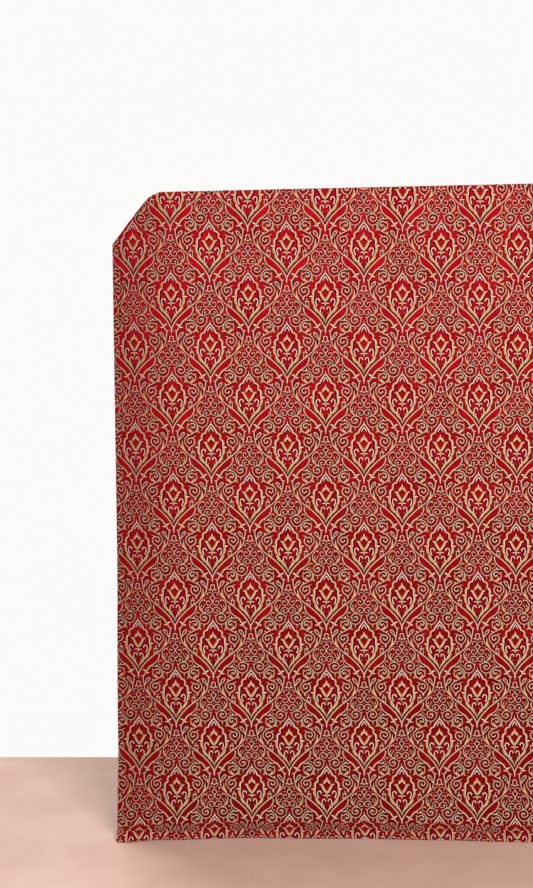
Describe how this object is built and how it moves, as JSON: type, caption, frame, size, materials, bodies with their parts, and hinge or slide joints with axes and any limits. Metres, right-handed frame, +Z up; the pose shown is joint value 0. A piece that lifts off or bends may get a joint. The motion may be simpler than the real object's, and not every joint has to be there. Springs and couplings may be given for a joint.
{
  "type": "damask velvet furnishing fabric",
  "caption": "Length of red and gold damask velvet hung by its top fold, a top corner folded back, its foot turned forward on the floor.",
  "frame": {"origin": "middle of the top fold, on its crest, where the cloth is held", "axes": "+X along the top fold to the viewer's right, -Y the way the figured face looks, +Z up"},
  "size_m": [1.3724, 0.0747, 0.9581],
  "materials": {
    "velvet": "dense matt red pile with a woven ogee damask in gold, tan and sage yarn, each outline edged in cream and dark brown"
  },
  "bodies": {
    "root": {"cloth": "velvet"}
  },
  "joints": []
}
